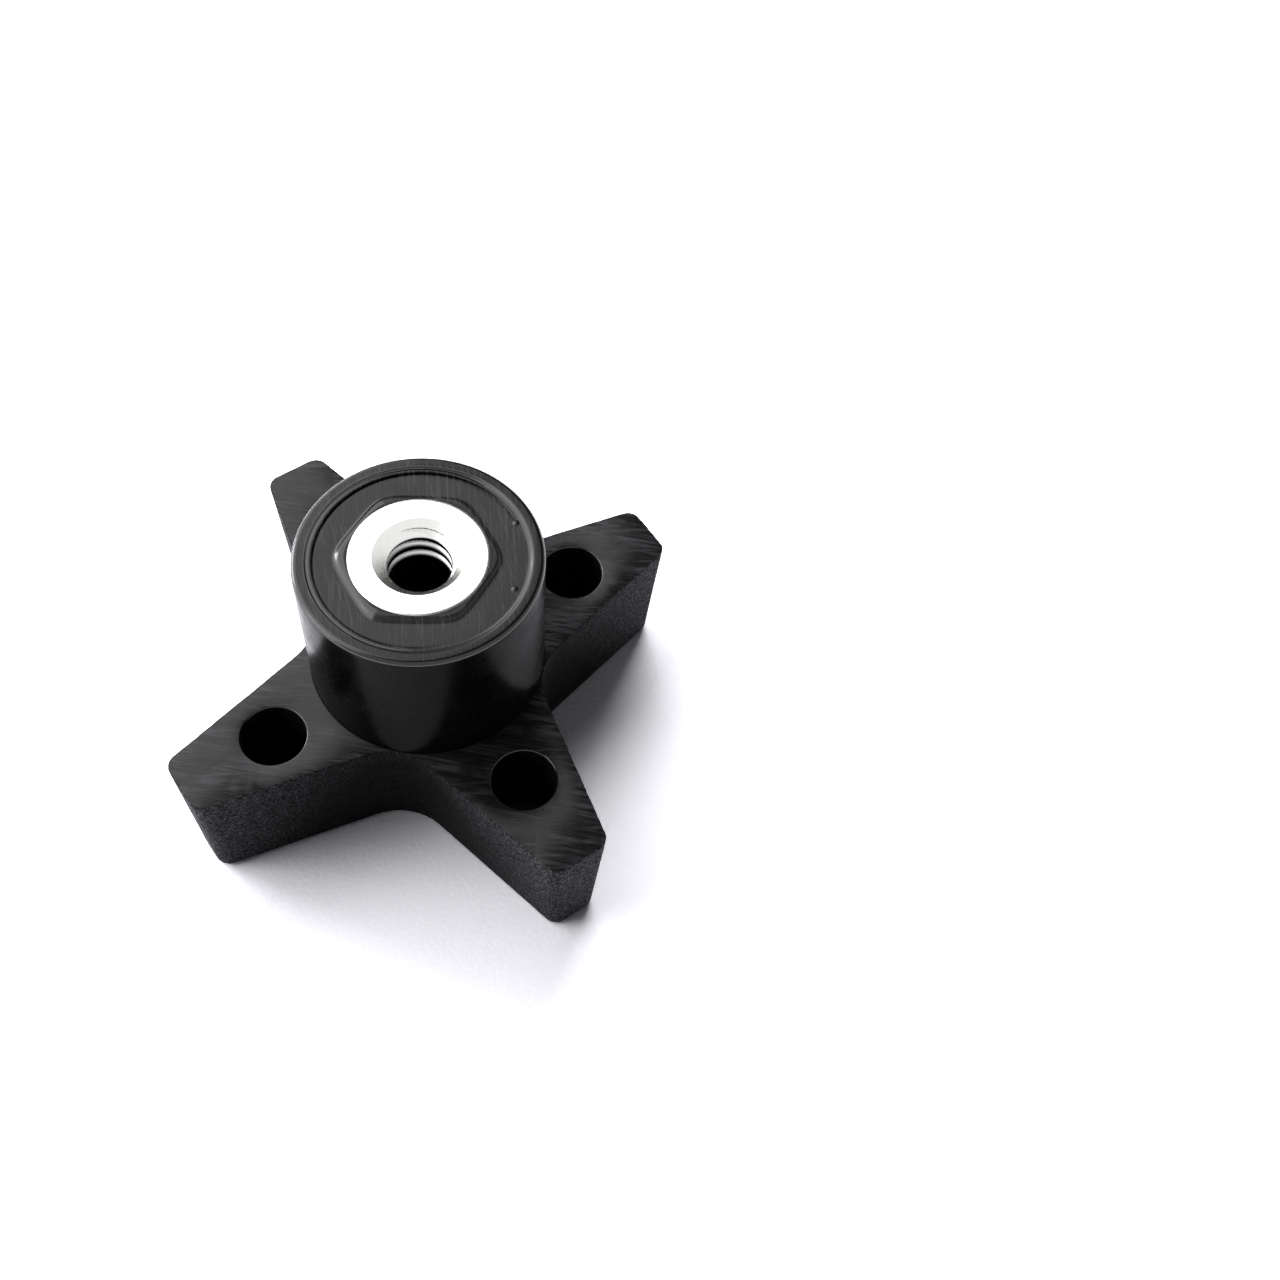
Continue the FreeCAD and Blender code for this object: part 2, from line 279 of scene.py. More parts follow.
def inside(points, loop):
    """Tell for each point of the plan whether it lies inside a closed loop."""
    found = np.zeros(len(points), bool)
    for (ax, ay), (bx, by) in zip(loop, np.roll(loop, -1, axis=0)):
        crosses = (ay > points[:, 1]) != (by > points[:, 1])
        if ay == by:
            continue
        reach = ax + (points[:, 1] - ay) * (bx - ax) / (by - ay)
        found ^= crosses & (points[:, 0] < reach)
    return found


def ring(radius, level, count=COLUMNS, centre=(0.0, 0.0), start=0.0):
    """Return a row of points round an axis; the radius and level may change along it."""
    angles = start + np.arange(count) * FULL_TURN / count
    radius = np.broadcast_to(radius, count)
    level = np.broadcast_to(level, count)
    x = centre[0] + radius * np.cos(angles)
    y = centre[1] + radius * np.sin(angles)
    return np.stack([x, y, level], axis=1)


def quarter_round(steps):
    """Return how far a quarter circle of radius 1 has gone along and across, step by step."""
    angles = np.linspace(0, math.pi / 2, steps + 1)
    return np.stack([np.sin(angles), 1 - np.cos(angles)], axis=1)


def soft_step(share):
    """Ease a share from 0 to 1, level at both ends."""
    return share * share * (3 - 2 * share)


def join_meshes(name, meshes):
    """Put several meshes into one, keeping their material slots' numbers."""
    work = bmesh.new()
    for mesh in meshes:
        work.from_mesh(mesh)
    joined = bpy.data.meshes.new(name)
    work.to_mesh(joined)
    work.free()
    return joined


def weld(mesh):
    """Merge the seams of a mesh, turn its faces outwards, and see that it is closed."""
    work = bmesh.new()
    work.from_mesh(mesh)
    bmesh.ops.remove_doubles(work, verts=work.verts, dist=WELD)
    bmesh.ops.recalc_face_normals(work, faces=work.faces)
    open_edges = sum(len(edge.link_faces) != 2 for edge in work.edges)
    work.to_mesh(mesh)
    work.free()
    if open_edges:
        raise RuntimeError(f"{mesh.name} has {open_edges} open edges")


def add_object(name, data):
    """Put an object with this data into the scene."""
    thing = bpy.data.objects.new(name, data)
    bpy.context.scene.collection.objects.link(thing)
    return thing


def show_piece(name, mesh, materials, node):
    """Weld a mesh and make it the piece that stands for a CAD node."""
    weld(mesh)
    mesh.set_sharp_from_angle(angle=SHARP_ANGLE)
    mesh.name = name
    finishes = [face.value for face in mesh.attributes["finish"].data]
    mesh.attributes.remove(mesh.attributes["finish"])
    mesh.materials.clear()
    for material in materials:
        mesh.materials.append(material)
    mesh.polygons.foreach_set("material_index", finishes)
    piece = add_object(name, mesh)
    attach(piece, "root")
    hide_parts(node)


# Arms

# Points along half an arm's outline, rows down its side, and points round a blind hole
TIP_FLAT_POINTS = 6
TIP_ROUND_POINTS = 10
SIDE_POINTS = 52
ROOT_ROUND_POINTS = 13
SIDE_ROWS = 22
HOLE_COLUMNS = 72

# Wear of each row from the rear edge down, and how far from the axis it starts and is full
WEAR_BY_ROW = (1.0, 1.0, 0.9, 0.75, 0.3)
WEAR_START = 11.2 * MM
WEAR_FULL = 12.7 * MM


def arm_outline(sizes, inset, root_radius, tip_radius):
    """Return the outline of one arm along +X, from one root's middle round the tip to the other's."""
    lean = sizes.taper
    along, across = math.sin(lean), math.cos(lean)
    reach = sizes.span / 2
    distance = reach * along + sizes.tip_width / 2 * across - inset
    tip_x = reach - inset - tip_radius
    tip_y = (distance - tip_radius - tip_x * along) / across
    root = (distance + root_radius) / (along + across)
    side_normal = math.pi / 2 - lean
    flat = [(reach - inset, y) for y in np.linspace(0, tip_y, TIP_FLAT_POINTS, endpoint=False)]
    tip = [(tip_x + tip_radius * math.cos(a), tip_y + tip_radius * math.sin(a))
           for a in np.linspace(0, side_normal, TIP_ROUND_POINTS)]
    root_arc = [(root - root_radius * math.cos(a), root - root_radius * math.sin(a))
                for a in np.linspace(side_normal, math.pi / 4, ROOT_ROUND_POINTS)]
    side = [tuple(p) for p in np.linspace(tip[-1], root_arc[0], SIDE_POINTS)[1:-1]]
    upper = np.array(flat + tip + side + root_arc)
    lower = upper[:0:-1] * (1, -1)
    return np.concatenate([lower, upper])


def arm_levels(sizes):
    """Return the level, inset, root radius and tip radius of each row down an arm's side."""
    edge = sizes.rear_edge
    rows = [(sizes.thickness - edge * across, edge * (1 - along)) for along, across in quarter_round(3)]
    for z in np.linspace(sizes.thickness - edge, sizes.front_edge, SIDE_ROWS)[1:]:
        rows.append((z, 0.0))
    edge = sizes.front_edge
    rows += [(edge * (1 - along), edge * across) for along, across in quarter_round(6)[1:]]
    slope = math.tan(sizes.draft)
    root, tip = sizes.root_radius, sizes.tip_radius
    return [(z, (sizes.thickness - z) * slope + inset, root + inset, tip - inset) for z, inset in rows]


def make_arm(sizes, hub):
    """Build one arm along +X: its sides, its share of both faces and its blind hole."""
    shell = Shell()
    rows = []
    for z, inset, root_radius, tip_radius in arm_levels(sizes):
        plan = arm_outline(sizes, inset, root_radius, tip_radius)
        rows.append(np.column_stack([plan, np.full(len(plan), z)]))
    shell.add_rows(rows, [GRAINED] * (len(rows) - 1), closed=False)
    turns = np.arange(COLUMNS // ARM_COUNT + 1) * FULL_TURN / COLUMNS - FULL_TURN / ARM_COUNT / 2
    arc = np.column_stack([np.cos(turns), np.sin(turns)])[::-1]
    foot = (hub.diameter / 2 + hub.foot_radius) * arc
    mouth = (hub.recess_diameter / 2 + hub.recess_edge) * arc
    centre = (sizes.hole_circle / 2, 0.0)
    radius = sizes.hole_diameter / 2
    edge = sizes.hole_edge
    walls = [ring(radius + edge * (1 - along), sizes.thickness - edge * across, HOLE_COLUMNS, centre)
             for along, across in quarter_round(3)]
    finishes = [POLISHED] * 3
    depth = sizes.thickness - sizes.hole_floor
    for drop in np.linspace(edge, depth, 9)[1:]:
        narrower = drop * math.tan(sizes.hole_draft)
        walls.append(ring(radius - narrower, sizes.thickness - drop, HOLE_COLUMNS, centre))
        finishes.append(RECESS)
    shell.add_flat(sizes.thickness, np.concatenate([rows[0][:, :2], foot]), [walls[0]], SANDED)
    shell.add_flat(0.0, np.concatenate([rows[-1][:, :2], mouth]), [], GRAINED)
    shell.add_rows(walls, finishes)
    shell.add_flat(sizes.hole_floor, walls[-1], [], RECESS)
    mesh = shell.make_mesh("arm")
    wear = arm_wear(sizes, shell, rows)
    mesh.attributes.new("wear", "FLOAT", "POINT").data.foreach_set("value", wear)
    return mesh


def arm_wear(sizes, shell, rows):
    """Return how much each point of an arm is worn: only those along its rear edges are."""
    outline = rows[0]
    away = np.hypot(outline[:, 0], outline[:, 1])
    toward_tips = np.clip((away - WEAR_START) / (WEAR_FULL - WEAR_START), 0, 1)
    wear = np.zeros(len(shell.points), np.float32)
    for row, weight in enumerate(WEAR_BY_ROW):
        wear[row * len(outline):(row + 1) * len(outline)] = weight * toward_tips
    # The rear face repeats the points of the outline, and moves with them
    for index in range(len(rows) * len(outline), len(wear)):
        x, y, z = shell.points[index]
        if abs(z - sizes.thickness) < WELD:
            gaps = np.hypot(outline[:, 0] - x, outline[:, 1] - y)
            nearest = np.argmin(gaps)
            if gaps[nearest] < WELD:
                wear[index] = toward_tips[nearest]
    return wear


def group_with(name, sockets):
    """Start a geometry tree with named inputs; return it, its given values and its result's socket."""
    tree = bpy.data.node_groups.new(name, "GeometryNodeTree")
    tree.interface.new_socket("Geometry", in_out="INPUT", socket_type="NodeSocketGeometry")
    for label, kind in sockets.items():
        tree.interface.new_socket(label, in_out="INPUT", socket_type="NodeSocket" + kind)
    tree.interface.new_socket("Geometry", in_out="OUTPUT", socket_type="NodeSocketGeometry")
    return tree, tree.nodes.new("NodeGroupInput").outputs, tree.nodes.new("NodeGroupOutput").inputs[0]


def apply_tree(mesh, tree, values):
    """Run a geometry tree on a mesh and return the plain mesh that it gives."""
    carrier = add_object("carrier", mesh)
    modifier = carrier.modifiers.new(tree.name, "NODES")
    modifier.node_group = tree
    for item in tree.interface.items_tree:
        if item.in_out == "INPUT" and item.name in values:
            modifier[item.identifier] = values[item.name]
    bpy.context.view_layer.update()
    evaluated = carrier.evaluated_get(bpy.context.evaluated_depsgraph_get())
    result = bpy.data.meshes.new_from_object(evaluated)
    carrier.modifiers.remove(modifier)
    bpy.data.objects.remove(carrier)
    return result


def star_tree():
    """Repeat one arm about the axis, weld the arms, and nick their rear edges."""
    tree, given, result = group_with("Star of arms", {
        "Arms": "Int", "Weld distance": "Float", "Wear depth": "Float", "Wear length": "Float",
        "Wear seed": "Float", "Sides": "Material"})
    places = add_node(tree, "GeometryNodeMeshLine", {"Count": given["Arms"], "Offset": (0, 0, 0)})
    step = add_node(tree, MATH, {0: FULL_TURN, 1: given["Arms"]}, operation="DIVIDE")
    index = add_node(tree, "GeometryNodeInputIndex")
    turn = add_node(tree, MATH, {0: index, 1: step}, operation="MULTIPLY")
    rotation = add_node(tree, "ShaderNodeCombineXYZ", {"Z": turn})
    arms = add_node(tree, "GeometryNodeInstanceOnPoints", {
        "Points": places, "Instance": given["Geometry"], "Rotation": rotation})
    real = add_node(tree, "GeometryNodeRealizeInstances", {0: arms})
    welded = add_node(tree, "GeometryNodeMergeByDistance", {
        "Geometry": real, "Distance": given["Weld distance"]})
    place = add_node(tree, "GeometryNodeInputPosition")
    flat_place = add_node(tree, VECTOR_MATH, {0: place, 1: (1, 1, 0)}, operation="MULTIPLY")
    density = add_node(tree, MATH, {0: 1.0, 1: given["Wear length"]}, operation="DIVIDE")
    noise = add_node(tree, NOISE, {
        "Vector": flat_place, "W": given["Wear seed"], "Scale": density, "Detail": 4.0,
        "Roughness": 0.7}, noise_dimensions="4D")
    nick = add_node(tree, MAP_RANGE, {0: noise, 1: 0.5, 2: 0.85})
    depth = add_node(tree, MATH, {0: nick, 1: given["Wear depth"]}, operation="MULTIPLY")
    wear = add_node(tree, "GeometryNodeInputNamedAttribute", {"Name": "wear"}, data_type="FLOAT")
    weighted = add_node(tree, MATH, {0: depth, 1: wear.outputs["Attribute"]}, operation="MULTIPLY")
    inwards = add_node(tree, MATH, {0: weighted, 1: -1.0}, operation="MULTIPLY")
    normal = add_node(tree, "GeometryNodeInputNormal")
    flat_normal = add_node(tree, VECTOR_MATH, {0: normal, 1: (1, 1, 0)}, operation="MULTIPLY")
    unit = add_node(tree, VECTOR_MATH, {0: flat_normal}, operation="NORMALIZE")
    offset = add_node(tree, VECTOR_MATH, {0: unit, "Scale": inwards}, operation="SCALE")
    moved = add_node(tree, "GeometryNodeSetPosition", {"Geometry": welded, "Offset": offset})
    finish = add_node(tree, "GeometryNodeInputNamedAttribute", {"Name": "finish"}, data_type="INT")
    side = add_node(tree, "FunctionNodeCompare", {
        2: finish.outputs["Attribute"], 3: GRAINED}, data_type="INT", operation="EQUAL")
    dressed = add_node(tree, "GeometryNodeSetMaterial", {
        "Geometry": moved, "Selection": side, "Material": given["Sides"]})
    tree.links.new(dressed.outputs[0], result)
    return tree


# Hub

# Section of the end face from its rim inwards, in millimetres: radius and depth below the
# rim, once where a witness groove of the mould's core stands open and once where it is closed
OPEN_SECTION = (
    (9.26, 0.03), (9.18, 0.018), (9.10, 0.0), (9.04, 0.0), (8.97, 0.09), (8.92, 0.14), (8.86, 0.145),
    (8.80, 0.12), (8.68, 0.085), (8.52, 0.075), (8.475, 0.10), (8.46, 0.40), (8.385, 0.42),
    (8.37, 0.27), (8.32, 0.25))
CLOSED_SECTION = (
    (9.26, 0.03), (9.20, 0.03), (9.16, 0.036), (9.10, 0.06), (9.02, 0.10), (8.93, 0.155), (8.86, 0.19),
    (8.79, 0.22), (8.72, 0.24), (8.66, 0.25), (8.60, 0.25), (8.54, 0.25), (8.46, 0.25), (8.40, 0.25),
    (8.32, 0.25))

# Middle of the side on which the groove is open, and how the opening fades round the face
OPEN_SIDE = math.radians(118)
OPEN_MEAN = 0.62
OPEN_SWING = 0.75

# Narrow slope inside the rim that came out smooth, from one radius to the other in millimetres
SMOOTH_FROM, SMOOTH_TO = 8.75, 9.12

# Boss round the nut: the side on which its slope is widest, the share of that width that is left
# opposite, and the middle of its two smooth sides, counted from the nut's first corner
WIDE_SIDE = math.radians(165)
LEAST_SLOPE = 0.55
SMOOTH_SIDES = math.radians(120)

# How sharp the boss's corners are, how far its top stays below the nut's face, how far its slope
# goes on inside its outline, the least width of its flat top, and its gap to the nut's chamfer
CORNER_POWER = 12
BOSS_DROP = 0.02 * MM
BOSS_LAP = 0.12 * MM
LEAST_TOP = 0.01 * MM
CHAMFER_GAP = 0.004 * MM

# Two small pips that the mould's vents left on the end face
PIPS = ((8.33 * MM, -1.38 * MM), (4.73 * MM, -6.69 * MM))
PIP_RADIUS = 0.3 * MM
PIP_HEIGHT = 0.1 * MM
PIP_COLUMNS = 24

# Room between the nut and its seat
SEAT_CLEARANCE = 0.02 * MM

# Recess: the radius round its floor, and the turning marks that its core left on the wall near it
RECESS_FLOOR_RADIUS = 0.35 * MM
TURNED_HEIGHT = 5 * MM
TURNED_PITCH = 0.11 * MM
TURNED_DEPTH = 0.012 * MM


def hexagon_radius(angles, across_flats, turn, corner_power=None):
    """Return the distance from the axis to a hexagon at each angle, with rounded corners if asked."""
    step = FULL_TURN / HEXAGON_SIDES
    if corner_power is None:
        off = (angles - turn) % step - step / 2
        return across_flats / 2 / np.cos(off)
    total = 0.0
    for side in range(HEXAGON_SIDES):
        total = total + np.maximum(np.cos(angles - turn - (side + 0.5) * step), 0) ** corner_power
    return across_flats / 2 * total ** (-1 / corner_power)


def end_face_rows(hub, nut):
    """Return the rows of the end face from its rim to the nut, and the finish after each."""
    openness = soft_step(np.clip(OPEN_MEAN + OPEN_SWING * np.cos(ANGLES - OPEN_SIDE), 0, 1))
    rows = []
    finishes = []
    for (open_r, open_d), (closed_r, closed_d) in zip(OPEN_SECTION, CLOSED_SECTION):
        radius = (openness * open_r + (1 - openness) * closed_r) * MM
        depth = (openness * open_d + (1 - openness) * closed_d) * MM
        rows.append(ring(radius, hub.height - depth))
        finishes.append(POLISHED if SMOOTH_FROM < open_r < SMOOTH_TO else END_FACE)
    boss = hexagon_radius(ANGLES, nut.across_flats + 2 * hub.boss_wall, nut.turn, CORNER_POWER)
    wideness = 0.5 + 0.5 * np.cos(ANGLES - WIDE_SIDE)
    slope = hub.boss_slope * (LEAST_SLOPE + (1 - LEAST_SLOPE) * wideness)
    base = boss + slope
    start = OPEN_SECTION[-1][0] * MM
    face = hub.height - hub.face_relief
    top = hub.height - BOSS_DROP
    foot = top - hub.boss_height
    for share in np.linspace(0, 1, 9)[1:]:
        rows.append(ring(start + (base - start) * share, face + (foot - face) * share * share))
        finishes.append(END_FACE)
    # Two of the boss's six sides came out of the mould smooth, the others as rough as the face
    sides = np.where(np.cos(ANGLES - nut.turn - SMOOTH_SIDES) > 0.5, POLISHED, END_FACE)
    finishes[-1] = sides
    for share in np.linspace(0, 1, 13)[1:]:
        rows.append(ring(base - (slope + BOSS_LAP) * share, foot + hub.boss_height * soft_step(share)))
        finishes.append(sides)
    edge = base - (slope + BOSS_LAP)
    chamfer = nut.face_diameter / 2 + (BOSS_DROP + CHAMFER_GAP) / math.tan(nut.chamfer)
    inner = np.minimum(edge - LEAST_TOP, chamfer)
    for share in (0.5, 1.0):
        rows.append(ring(edge + (inner - edge) * share, top))
        finishes.append(RECESS)
    return rows, finishes


def nut_seat_rows(hub, nut):
    """Return the rows of the cavity that holds the nut, from its upper chamfer to the bore below."""
    corner = hexagon_radius(ANGLES, nut.across_flats, nut.turn) + SEAT_CLEARANCE
    face = nut.face_diameter / 2
    drop = (corner - face) * math.tan(nut.chamfer)
    base = hub.height - nut.height
    bore = hub.clearance_bore / 2
    return [
        ring(corner, hub.height - drop),
        ring(corner, base + drop - SEAT_CLEARANCE),
        ring(face, base - SEAT_CLEARANCE),
        ring(bore, base - SEAT_CLEARANCE),
        ring(bore, base - hub.seat),
    ]


def recess_rows(hub, nut):
    """Return the rows of the recess, from its floor to its rounded mouth in the front face."""
    floor = hub.height - nut.height - hub.seat
    slope = math.tan(hub.recess_draft)
    mouth = hub.recess_diameter / 2
    corner = RECESS_FLOOR_RADIUS
    rows = [ring(mouth - floor * slope - corner * (1 - along), floor - corner * across)
            for along, across in quarter_round(4)]
    turned = np.arange(floor - corner, floor - TURNED_HEIGHT, -TURNED_PITCH)[1:]
    for number, level in enumerate(turned):
        mark = TURNED_DEPTH * min(1.0, number / 4) if number % 2 else 0.0
        rows.append(ring(mouth - level * slope + mark, level))
    for level in np.linspace(turned[-1], hub.recess_edge, 16)[1:]:
        rows.append(ring(mouth - level * slope, level))
    for along, across in quarter_round(5)[1:]:
        rows.append(ring(mouth + hub.recess_edge * across, hub.recess_edge * (1 - along)))
    return rows


def make_hub(arms, hub, nut):
    """Build the hub with its end face, the nut's seat, the bore and the recess as one skin."""
    shell = Shell()
    face = hub.height - hub.face_relief
    for centre in PIPS:
        pip = [ring(PIP_RADIUS * math.sin(a), face + PIP_HEIGHT * math.cos(a), PIP_COLUMNS, centre)
               for a in np.linspace(0, math.pi, 9)]
        shell.add_rows(pip, [POLISHED] * (len(pip) - 1))
    radius = hub.diameter / 2
    foot = arms.thickness
    rows = [ring(radius + hub.foot_radius * (1 - along), foot + hub.foot_radius * across)
            for along, across in quarter_round(3)]
    edge = hub.edge_radius
    for level in np.linspace(foot + hub.foot_radius, hub.height - edge, 30)[1:]:
        rows.append(ring(radius, level))
    finishes = [SATIN] * len(rows)
    rise = edge - OPEN_SECTION[0][1] * MM
    for along, across in quarter_round(7)[1:]:
        rows.append(ring(radius - edge * across, hub.height - edge + rise * along))
        finishes.append(POLISHED)
    finishes[-1] = END_FACE
    end_rows, end_finishes = end_face_rows(hub, nut)
    inner_rows = nut_seat_rows(hub, nut) + recess_rows(hub, nut)
    rows += end_rows + inner_rows
    finishes += end_finishes + [RECESS] * (len(inner_rows) - 1)
    shell.add_rows(rows, finishes)
    return shell.make_mesh("hub")


# Nut

# Rows down the bore, fine enough for the thread
BORE_ROWS = 150


def make_nut_blank(hub, nut):
    """Build the nut with a plain bore, and mark the wall that the thread is cut into."""
    shell = Shell()
    top = hub.height
    base = top - nut.height
    corner = hexagon_radius(ANGLES + nut.turn, nut.across_flats, nut.turn)
    face = nut.face_diameter / 2
    drop = (corner - face) * math.tan(nut.chamfer)
    bore = nut.minor_diameter / 2
    section = [(bore, level) for level in np.linspace(top, base, BORE_ROWS)]
    section += [(radius, base) for radius in np.linspace(nut.leaving / 2, face, 4)]
    section += [(corner, base + drop), (corner, top - drop)]
    section += [(radius, top) for radius in np.linspace(face, nut.entry / 2, 10)]
    rows = [ring(radius, level, start=nut.turn) for radius, level in section + section[:1]]
    shell.add_rows(rows, [0] * (len(rows) - 1))
    mesh = shell.make_mesh("nut_blank")
    bored = np.zeros(len(shell.points), np.float32)
    bored[:BORE_ROWS * COLUMNS] = 1
    bored[-COLUMNS:] = 1
    mesh.attributes.new("bored", "FLOAT", "POINT").data.foreach_set("value", bored)
    return mesh


def thread_tree():
    """Cut a right-handed thread, with a countersink at both ends, into the wall of a bore."""
    tree, given, result = group_with("Internal thread", {
        "Pitch": "Float", "Minor radius": "Float", "Major radius": "Float", "Phase": "Float",
        "Top": "Float", "Bottom": "Float", "Entry radius": "Float", "Far radius": "Float",
        "Weld distance": "Float", "Material": "Material"})
    place = add_node(tree, "GeometryNodeInputPosition")
    parts = add_node(tree, "ShaderNodeSeparateXYZ", {0: place}).outputs
    angle = add_node(tree, MATH, {0: parts["Y"], 1: parts["X"]}, operation="ARCTAN2")
    around = add_node(tree, MATH, {0: angle, 1: FULL_TURN}, operation="DIVIDE")
    height = add_node(tree, MATH, {0: parts["Z"], 1: given["Pitch"]}, operation="DIVIDE")
    rise = add_node(tree, MATH, {0: height, 1: around}, operation="SUBTRACT")
    phase = add_node(tree, MATH, {0: rise, 1: given["Phase"]}, operation="ADD")
    along = add_node(tree, MATH, {0: phase}, operation="FRACT")
    off_middle = add_node(tree, MATH, {0: along, 1: 0.5}, operation="SUBTRACT")
    distance = add_node(tree, MATH, {0: off_middle}, operation="ABSOLUTE")
    wave = add_node(tree, MATH, {0: distance, 1: 2.0}, operation="MULTIPLY")
    # A crest flat of 0.36 of the pitch and a root flat of an eighth
    share = add_node(tree, MAP_RANGE, {0: wave, 1: 0.36, 2: 0.875})
    deep = add_node(tree, MATH, {
        0: given["Major radius"], 1: given["Minor radius"]}, operation="SUBTRACT")
    thread = add_node(tree, MATH, {
        0: share, 1: deep, 2: given["Minor radius"]}, operation="MULTIPLY_ADD")
    # Both countersinks narrow by as much as they go in
    below = add_node(tree, MATH, {0: given["Top"], 1: parts["Z"]}, operation="SUBTRACT")
    entry = add_node(tree, MATH, {0: given["Entry radius"], 1: below}, operation="SUBTRACT")
    above = add_node(tree, MATH, {0: parts["Z"], 1: given["Bottom"]}, operation="SUBTRACT")
    far = add_node(tree, MATH, {0: given["Far radius"], 1: above}, operation="SUBTRACT")
    entered = add_node(tree, MATH, {0: thread, 1: entry}, operation="MAXIMUM")
    radius = add_node(tree, MATH, {0: entered, 1: far}, operation="MAXIMUM")
    cosine = add_node(tree, MATH, {0: angle}, operation="COSINE")
    sine = add_node(tree, MATH, {0: angle}, operation="SINE")
    x = add_node(tree, MATH, {0: radius, 1: cosine}, operation="MULTIPLY")
    y = add_node(tree, MATH, {0: radius, 1: sine}, operation="MULTIPLY")
    new_place = add_node(tree, "ShaderNodeCombineXYZ", {"X": x, "Y": y, "Z": parts["Z"]})
    bored = add_node(tree, "GeometryNodeInputNamedAttribute", {"Name": "bored"}, data_type="FLOAT")
    moved = add_node(tree, "GeometryNodeSetPosition", {
        "Geometry": given["Geometry"], "Selection": bored.outputs["Attribute"], "Position": new_place})
    welded = add_node(tree, "GeometryNodeMergeByDistance", {
        "Geometry": moved, "Distance": given["Weld distance"]})
    real = add_node(tree, "GeometryNodeRealizeInstances", {0: welded})
    dressed = add_node(tree, "GeometryNodeSetMaterial", {
        "Geometry": real, "Material": given["Material"]})
    tree.links.new(dressed.outputs[0], result)
    return tree


# Materials

# Direction, length and width of the scratches on the rear faces and on the hub's end, which are
# too fine to show and are drawn wider
REAR_SCRATCHES = (math.radians(-45), 9 * MM, 0.34 * MM)
END_SCRATCHES = (math.radians(60), 8 * MM, 0.26 * MM)

# Smooth finishes: size and detail of their waves, least and greatest roughness, and gloss
SATIN_LOOK = (2.2 * MM, 2.0, 0.2, 0.3, 0.03)
POLISHED_LOOK = (2.2 * MM, 2.0, 0.14, 0.2, 0.6)
CORED_LOOK = (1.1 * MM, 3.0, 0.3, 0.45, 0.3)


def new_material(name):
    """Start a material and return it with its tree, shader and object coordinates."""
    material = bpy.data.materials.new(name)
    material.use_nodes = True
    tree = material.node_tree
    shader = tree.nodes["Principled BSDF"]
    place = add_node(tree, "ShaderNodeTexCoord").outputs["Object"]
    return material, tree, shader, place


def grained_plastic(finish):
    """Glass-filled polyamide moulded against a spark-eroded steel: a black with a fine sandy grain
    that glitters in the light and is dull and dark in the shade. Its crests are painted lighter,
    partly the grain's own tone and partly painted glints, and the painted light on them grows
    towards the tips of the arms. The grain is too fine to show, so it is drawn coarser, at 0.2 mm."""
    material, tree, shader, place = new_material("spark_eroded_black_polyamide")
    sand = add_node(tree, NOISE, {
        "Vector": place, "Scale": 1 / (0.2 * MM), "Detail": 3.0, "Roughness": 0.65})
    dust = add_node(tree, NOISE, {
        "Vector": place, "Scale": 1 / (0.13 * MM), "Detail": 1.0, "Roughness": 0.55})
    reach = add_node(tree, VECTOR_MATH, {0: place}, operation="LENGTH").outputs["Value"]
    # Painted light: the crests are painted lighter and lighter from 15 to 25 mm out, towards the tips
    # of the arms
    toward_tips = add_node(tree, MAP_RANGE, {0: reach, 1: 15 * MM, 2: 25 * MM, 3: 0.08, 4: 1.0})
    crests = add_node(tree, MAP_RANGE, {0: sand, 1: 0.44, 2: 0.74})
    light = add_node(tree, MATH, {0: crests, 1: toward_tips}, operation="MULTIPLY")
    colour = add_node(tree, MIX, {
        0: light, 6: linear(finish.plastic), 7: linear(finish.grain_and_glint)}, data_type="RGBA")
    roughness = add_node(tree, MAP_RANGE, {0: dust, 1: 0.3, 2: 0.7, 3: 0.5, 4: 0.65})
    coarse = add_node(tree, BUMP, {"Height": sand, "Distance": 0.1 * MM, "Strength": 0.8})
    fine = add_node(tree, BUMP, {
        "Height": dust, "Distance": 0.03 * MM, "Strength": 0.6, "Normal": coarse})
    set_inputs(tree, shader, {
        "Base Color": colour.outputs[2], "Roughness": roughness, "Normal": fine,
        "Specular IOR Level": 0.02})
    return material


def streaks_of(tree, place, turn, length, width, seed):
    """Return a noise drawn out into streaks of one direction, length and width."""
    turned = add_node(tree, "ShaderNodeMapping", {
        "Vector": place, "Rotation": (0, 0, turn)}, vector_type="TEXTURE")
    drawn = add_node(tree, "ShaderNodeMapping", {
        "Vector": turned, "Location": (seed, seed, 0), "Scale": (1 / length, 1 / width, 1 / (9 * MM))})
    return add_node(tree, NOISE, {"Vector": drawn, "Scale": 1.0, "Detail": 1.0, "Roughness": 0.6})


